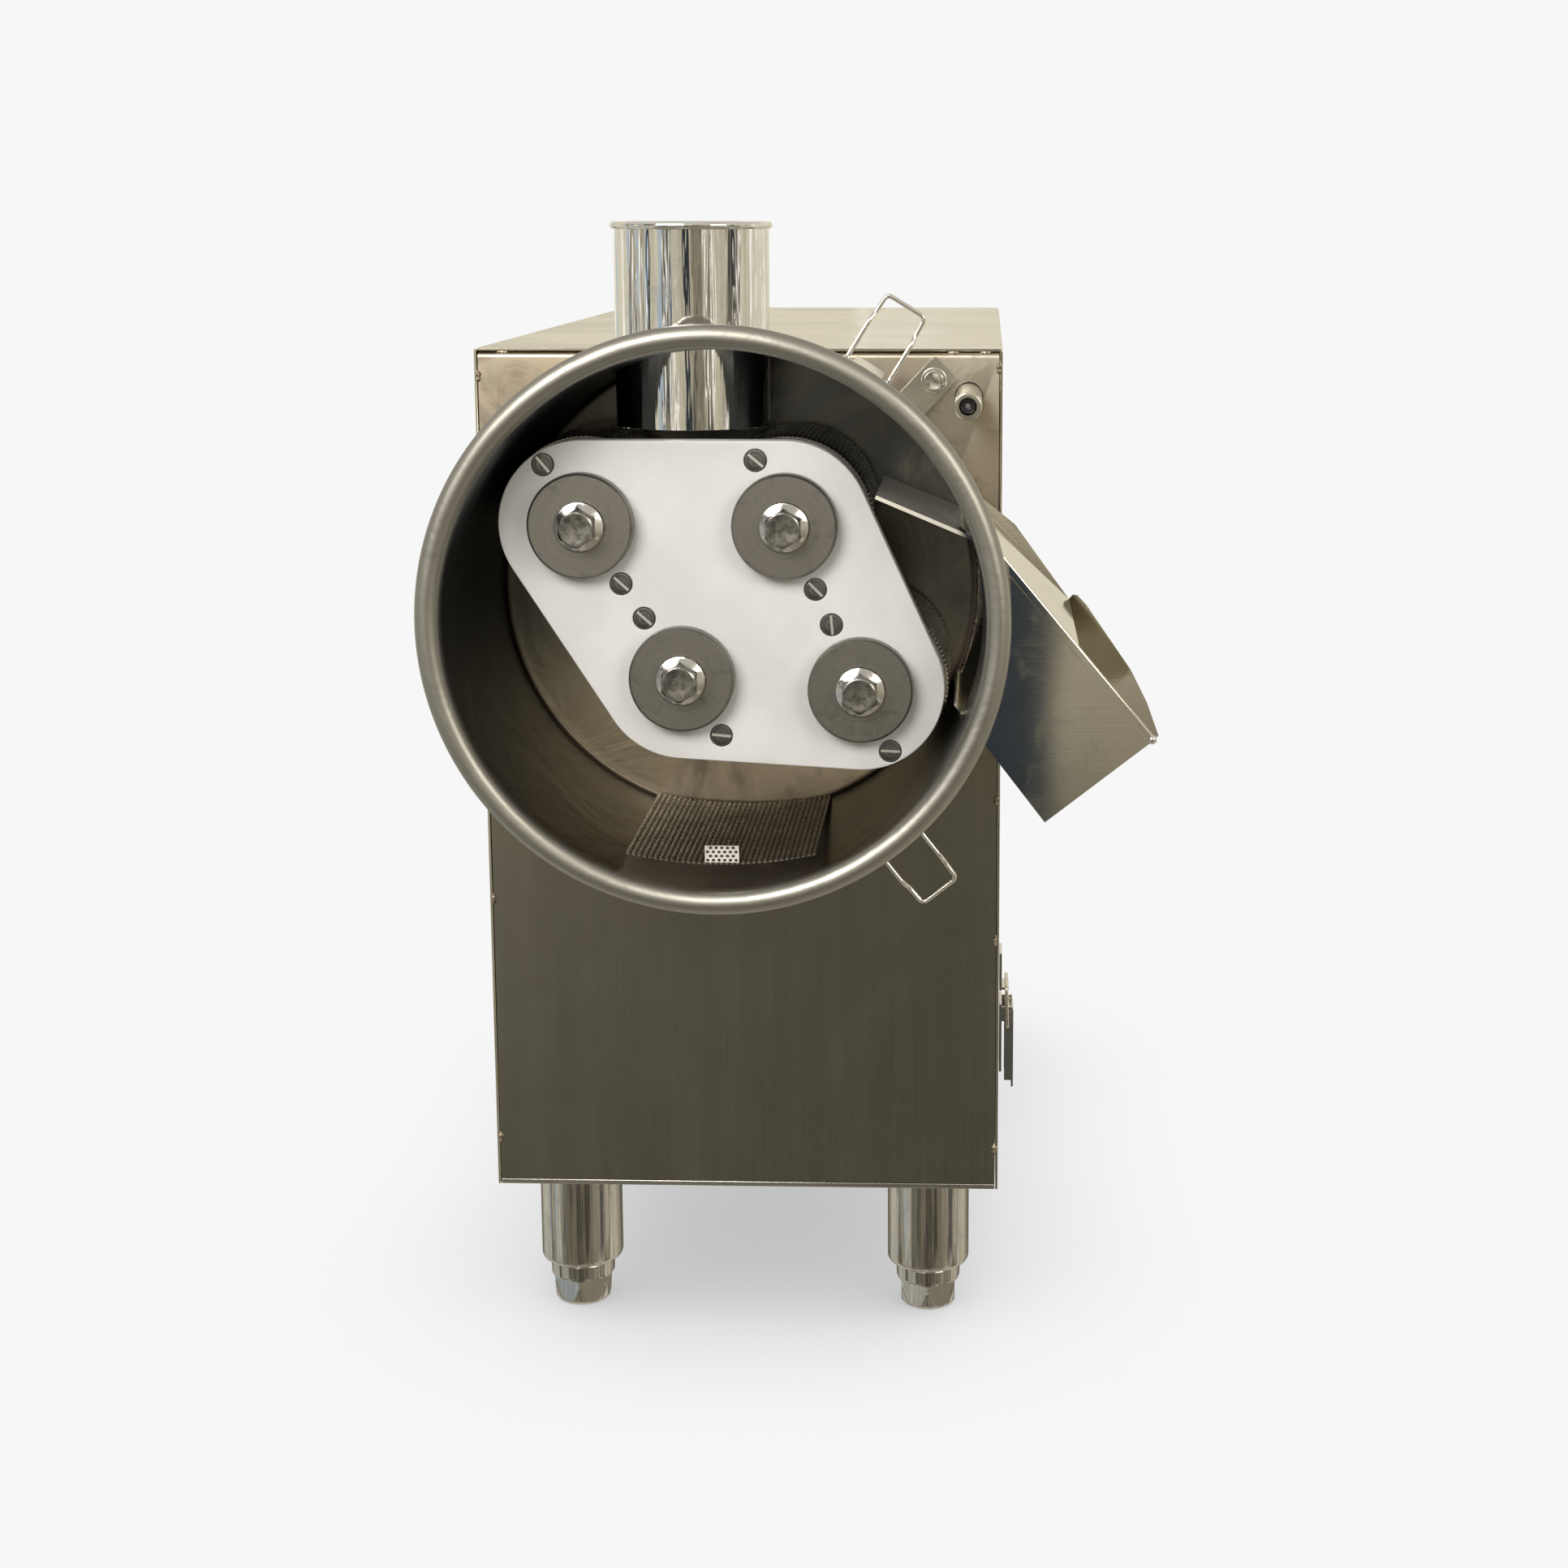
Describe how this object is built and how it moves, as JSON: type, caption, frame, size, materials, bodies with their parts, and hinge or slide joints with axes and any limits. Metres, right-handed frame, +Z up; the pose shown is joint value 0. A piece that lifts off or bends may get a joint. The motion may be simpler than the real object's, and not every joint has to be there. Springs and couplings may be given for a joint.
{
  "type": "sugarcane juice extractor",
  "caption": "Bench-top stainless sugarcane juice extractor with its round cover off: fluted rollers behind a white bearing plate, feed tube, strainer and waste chute.",
  "frame": {"origin": "under the middle of the whole outline, on the floor that the feet stand on", "axes": "+Z up, the pressing chamber faces -Y, the waste chute is on +X"},
  "size_m": [0.3952, 0.7718, 0.662],
  "materials": {
    "satin_steel": "satin stainless sheet, vertical brushing, straw tint",
    "polished_steel": "bright polished stainless sheet",
    "drum_steel": "spun stainless, satin",
    "perforated_steel": "perforated stainless sheet",
    "cast_iron": "machined cast iron",
    "gear_steel": "cut steel, oiled",
    "roller_steel": "fluted stainless",
    "washer_steel": "turned stainless, matt",
    "bolt_steel": "bright stainless hexagon flange bolt",
    "machine_paint": "blue-grey enamel",
    "belt_rubber": "moulded rubber",
    "switch_plastic": "black moulded plastic",
    "rocker_rubber": "black glossy plastic",
    "plunger_plastic": "black plastic",
    "white_nylon": "machined white plastic sheet",
    "latch_steel": "bright stainless wire and sheet",
    "leg_steel": "turned and polished stainless"
  },
  "bodies": {
    "cabinet": {"body_shell": "polished_steel", "feed_tube": "polished_steel", "discharge_chute": "polished_steel", "interlock_sleeve": "polished_steel", "base_plate": "satin_steel", "front_panel": "satin_steel", "rear_cover": "satin_steel", "drain_spout": "satin_steel", "drum_wall": "drum_steel", "drum_back": "drum_steel", "drive_plate": "cast_iron", "gearbox": "machine_paint", "motor": "machine_paint", "drive_belt": "belt_rubber", "switch_box": "switch_plastic", "cable_gland": "switch_plastic", "interlock_switch": "switch_plastic", "front_bearing_plate": "white_nylon", "latch_base_upper": "latch_steel", "latch_base_lower": "latch_steel", "latch_base_left": "latch_steel", "side_latch_keeper": "latch_steel", "side_latch_base": "latch_steel", "leg_sleeve_front_left": "leg_steel", "leg_sleeve_front_right": "leg_steel", "leg_sleeve_rear_left": "leg_steel", "leg_sleeve_rear_right": "leg_steel"},
    "roller_a": {"roller_a": "roller_steel", "roller_gear_a": "gear_steel", "end_washer_a": "washer_steel", "end_bolt_a": "bolt_steel"},
    "roller_b": {"roller_b": "roller_steel", "roller_gear_b": "gear_steel", "end_washer_b": "washer_steel", "end_bolt_b": "bolt_steel"},
    "roller_c": {"roller_c": "roller_steel", "roller_gear_c": "gear_steel", "end_washer_c": "washer_steel", "end_bolt_c": "bolt_steel"},
    "roller_d": {"roller_d": "roller_steel", "roller_gear_d": "gear_steel", "end_washer_d": "washer_steel", "end_bolt_d": "bolt_steel"},
    "gearbox_pulley": {"gearbox_pulley": "cast_iron"},
    "motor_pulley": {"motor_pulley": "cast_iron"},
    "interlock_plunger": {"interlock_plunger": "plunger_plastic"},
    "strainer": {"strainer": "perforated_steel"},
    "switch_rocker": {"switch_rocker": "rocker_rubber"},
    "latch_lever_upper": {"latch_lever_upper": "latch_steel"},
    "latch_bail_upper": {"latch_bail_upper": "latch_steel"},
    "latch_lever_lower": {"latch_lever_lower": "latch_steel"},
    "latch_bail_lower": {"latch_bail_lower": "latch_steel"},
    "latch_lever_left": {"latch_lever_left": "latch_steel"},
    "latch_bail_left": {"latch_bail_left": "latch_steel"},
    "side_latch_lever": {"side_latch_lever": "latch_steel"},
    "side_latch_bail": {"side_latch_bail": "latch_steel"},
    "foot_front_left": {"leg_foot_front_left": "leg_steel"},
    "foot_front_right": {"leg_foot_front_right": "leg_steel"},
    "foot_rear_left": {"leg_foot_rear_left": "leg_steel"},
    "foot_rear_right": {"leg_foot_rear_right": "leg_steel"}
  },
  "joints": [
    {"name": "roller_a_spin", "type": "hinge", "parent": "cabinet", "child": "roller_a", "pos_m": [-0.11606, -0.28291, 0.504], "axis": [0, 1, 0], "continuous": true},
    {"name": "roller_b_spin", "type": "hinge", "parent": "cabinet", "child": "roller_b", "pos_m": [-0.00806, -0.28291, 0.504], "axis": [0, 1, 0], "continuous": true},
    {"name": "roller_c_spin", "type": "hinge", "parent": "cabinet", "child": "roller_c", "pos_m": [-0.06366, -0.28291, 0.4221], "axis": [0, 1, 0], "continuous": true},
    {"name": "roller_d_spin", "type": "hinge", "parent": "cabinet", "child": "roller_d", "pos_m": [0.03159, -0.28291, 0.41655], "axis": [0, 1, 0], "continuous": true},
    {"name": "gearbox_pulley_spin", "type": "hinge", "parent": "cabinet", "child": "gearbox_pulley", "pos_m": [-0.00806, -0.06791, 0.424], "axis": [0, 1, 0], "continuous": true},
    {"name": "motor_pulley_spin", "type": "hinge", "parent": "cabinet", "child": "motor_pulley", "pos_m": [-0.00806, -0.06791, 0.176], "axis": [0, 1, 0], "continuous": true},
    {"name": "interlock_press", "type": "slide", "parent": "cabinet", "child": "interlock_plunger", "axis": [0, 1, 0], "range_m": [0, 0.005], "stiffness_N_per_m": 400, "springref_m": -0.001},
    {"name": "strainer_pull", "type": "slide", "parent": "cabinet", "child": "strainer", "axis": [0, -1, 0], "range_m": [0, 0.15]},
    {"name": "switch_rock", "type": "hinge", "parent": "cabinet", "child": "switch_rocker", "pos_m": [-0.12326, 0.37609, 0.52], "axis": [1, 0, 0], "range_deg": [0, 20]},
    {"name": "latch_upper_lever", "type": "hinge", "parent": "cabinet", "child": "latch_lever_upper", "pos_m": [0.03475, -0.35891, 0.5843], "axis": [0.8526, 0, -0.5225], "range_deg": [0, 75]},
    {"name": "latch_upper_bail", "type": "hinge", "parent": "latch_lever_upper", "child": "latch_bail_upper", "pos_m": [0.03522, -0.34791, 0.58507], "axis": [-0.8526, 0, 0.5225], "range_deg": [-70, 75]},
    {"name": "latch_lower_lever", "type": "hinge", "parent": "cabinet", "child": "latch_lever_lower", "pos_m": [0.04866, -0.35891, 0.33935], "axis": [-0.788, 0, -0.6157], "range_deg": [0, 75]},
    {"name": "latch_lower_bail", "type": "hinge", "parent": "latch_lever_lower", "child": "latch_bail_lower", "pos_m": [0.04922, -0.34791, 0.33864], "axis": [0.788, 0, 0.6157], "range_deg": [-70, 75]},
    {"name": "latch_left_lever", "type": "hinge", "parent": "cabinet", "child": "latch_lever_left", "pos_m": [-0.19256, -0.35891, 0.457], "axis": [0, 0, 1], "range_deg": [0, 75]},
    {"name": "latch_left_bail", "type": "hinge", "parent": "latch_lever_left", "child": "latch_bail_left", "pos_m": [-0.19346, -0.34791, 0.457], "axis": [0, 0, -1], "range_deg": [-150, 0]},
    {"name": "side_latch_lever_swing", "type": "hinge", "parent": "cabinet", "child": "side_latch_lever", "pos_m": [0.11264, -0.20091, 0.194], "axis": [0, -1, 0], "range_deg": [0, 100]},
    {"name": "side_latch_bail_swing", "type": "hinge", "parent": "side_latch_lever", "child": "side_latch_bail", "pos_m": [0.11214, -0.20091, 0.186], "axis": [0, 1, 0], "range_deg": [0, 100]},
    {"name": "foot_front_left_screw", "type": "slide", "parent": "cabinet", "child": "foot_front_left", "axis": [0, 0, -1], "range_m": [0, 0.015]},
    {"name": "foot_front_right_screw", "type": "slide", "parent": "cabinet", "child": "foot_front_right", "axis": [0, 0, -1], "range_m": [0, 0.015]},
    {"name": "foot_rear_left_screw", "type": "slide", "parent": "cabinet", "child": "foot_rear_left", "axis": [0, 0, -1], "range_m": [0, 0.015]},
    {"name": "foot_rear_right_screw", "type": "slide", "parent": "cabinet", "child": "foot_rear_right", "axis": [0, 0, -1], "range_m": [0, 0.015]}
  ],
  "couplings": [
    {"joint": "roller_a_spin", "follows": "roller_b_spin", "ratio": -1},
    {"joint": "roller_c_spin", "follows": "roller_b_spin", "ratio": -1.2},
    {"joint": "roller_d_spin", "follows": "roller_b_spin", "ratio": -1.2857},
    {"joint": "gearbox_pulley_spin", "follows": "roller_b_spin", "ratio": 12},
    {"joint": "motor_pulley_spin", "follows": "roller_b_spin", "ratio": 21.429},
    {"joint": "side_latch_bail_swing", "follows": "side_latch_lever_swing", "ratio": 1}
  ]
}
